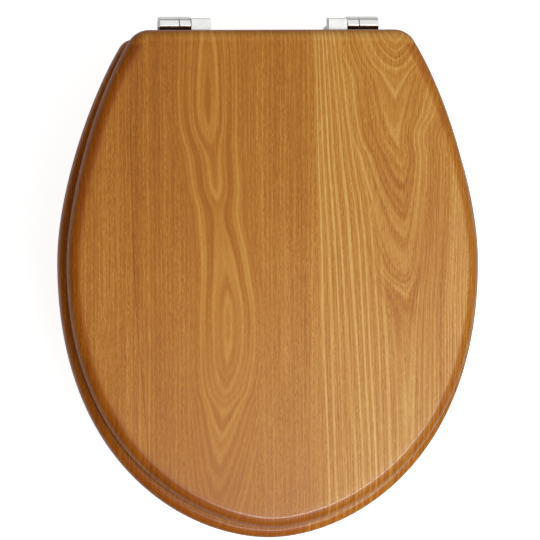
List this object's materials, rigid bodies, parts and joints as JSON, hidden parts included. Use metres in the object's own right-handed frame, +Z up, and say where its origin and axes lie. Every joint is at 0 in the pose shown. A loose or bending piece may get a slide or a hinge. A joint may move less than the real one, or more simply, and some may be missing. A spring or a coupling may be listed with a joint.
{
  "type": "toilet seat",
  "caption": "Oval wooden toilet seat with a flat lid; ring and lid lift on chromed double-knuckle hinges bolted through the pan.",
  "frame": {"origin": "on the pan rim plane, midway between the two fixing studs", "axes": "+X across the seat, +Y from the front of the seat to its hinges, +Z up from the pan"},
  "size_m": [0.372, 0.4551, 0.113],
  "materials": {
    "oak": "lacquered veneer, semi-gloss",
    "chrome": "polished plate on a zinc casting",
    "zinc_steel": "bright zinc plate",
    "nylon": "moulded nylon",
    "black_rubber": "moulded rubber",
    "clear_rubber": "pale moulded rubber"
  },
  "bodies": {
    "fixing": {"left_cone_washer": "black_rubber", "left_fixing_stud": "zinc_steel", "left_flat_washer": "zinc_steel", "left_hinge_pin": "zinc_steel", "left_hinge_post": "chrome", "left_pan_gasket": "black_rubber", "left_wing_nut": "nylon", "right_cone_washer": "black_rubber", "right_fixing_stud": "zinc_steel", "right_flat_washer": "zinc_steel", "right_hinge_pin": "zinc_steel", "right_hinge_post": "chrome", "right_pan_gasket": "black_rubber", "right_wing_nut": "nylon"},
    "seat": {"left_front_seat_buffer": "clear_rubber", "left_rear_seat_buffer": "clear_rubber", "left_seat_arm": "chrome", "left_seat_bush": "nylon", "right_front_seat_buffer": "clear_rubber", "right_rear_seat_buffer": "clear_rubber", "right_seat_arm": "chrome", "right_seat_bush": "nylon", "seat_arm_screws": "zinc_steel", "seat_buffer_screws": "zinc_steel", "seat_ring": "oak"},
    "lid": {"left_lid_arm": "chrome", "left_lid_buffer": "clear_rubber", "left_lid_bush": "nylon", "lid": "oak", "lid_arm_screws": "zinc_steel", "lid_buffer_screws": "zinc_steel", "right_lid_arm": "chrome", "right_lid_buffer": "clear_rubber", "right_lid_bush": "nylon"}
  },
  "joints": [
    {"name": "seat_hinge", "type": "hinge", "parent": "fixing", "child": "seat", "pos_m": [0, 0.006, 0.021], "axis": [-1, 0, 0], "range_deg": [0, 93]},
    {"name": "lid_hinge", "type": "hinge", "parent": "seat", "child": "lid", "pos_m": [0, 0.006, 0.021], "axis": [-1, 0, 0], "range_deg": [0, 97]}
  ]
}
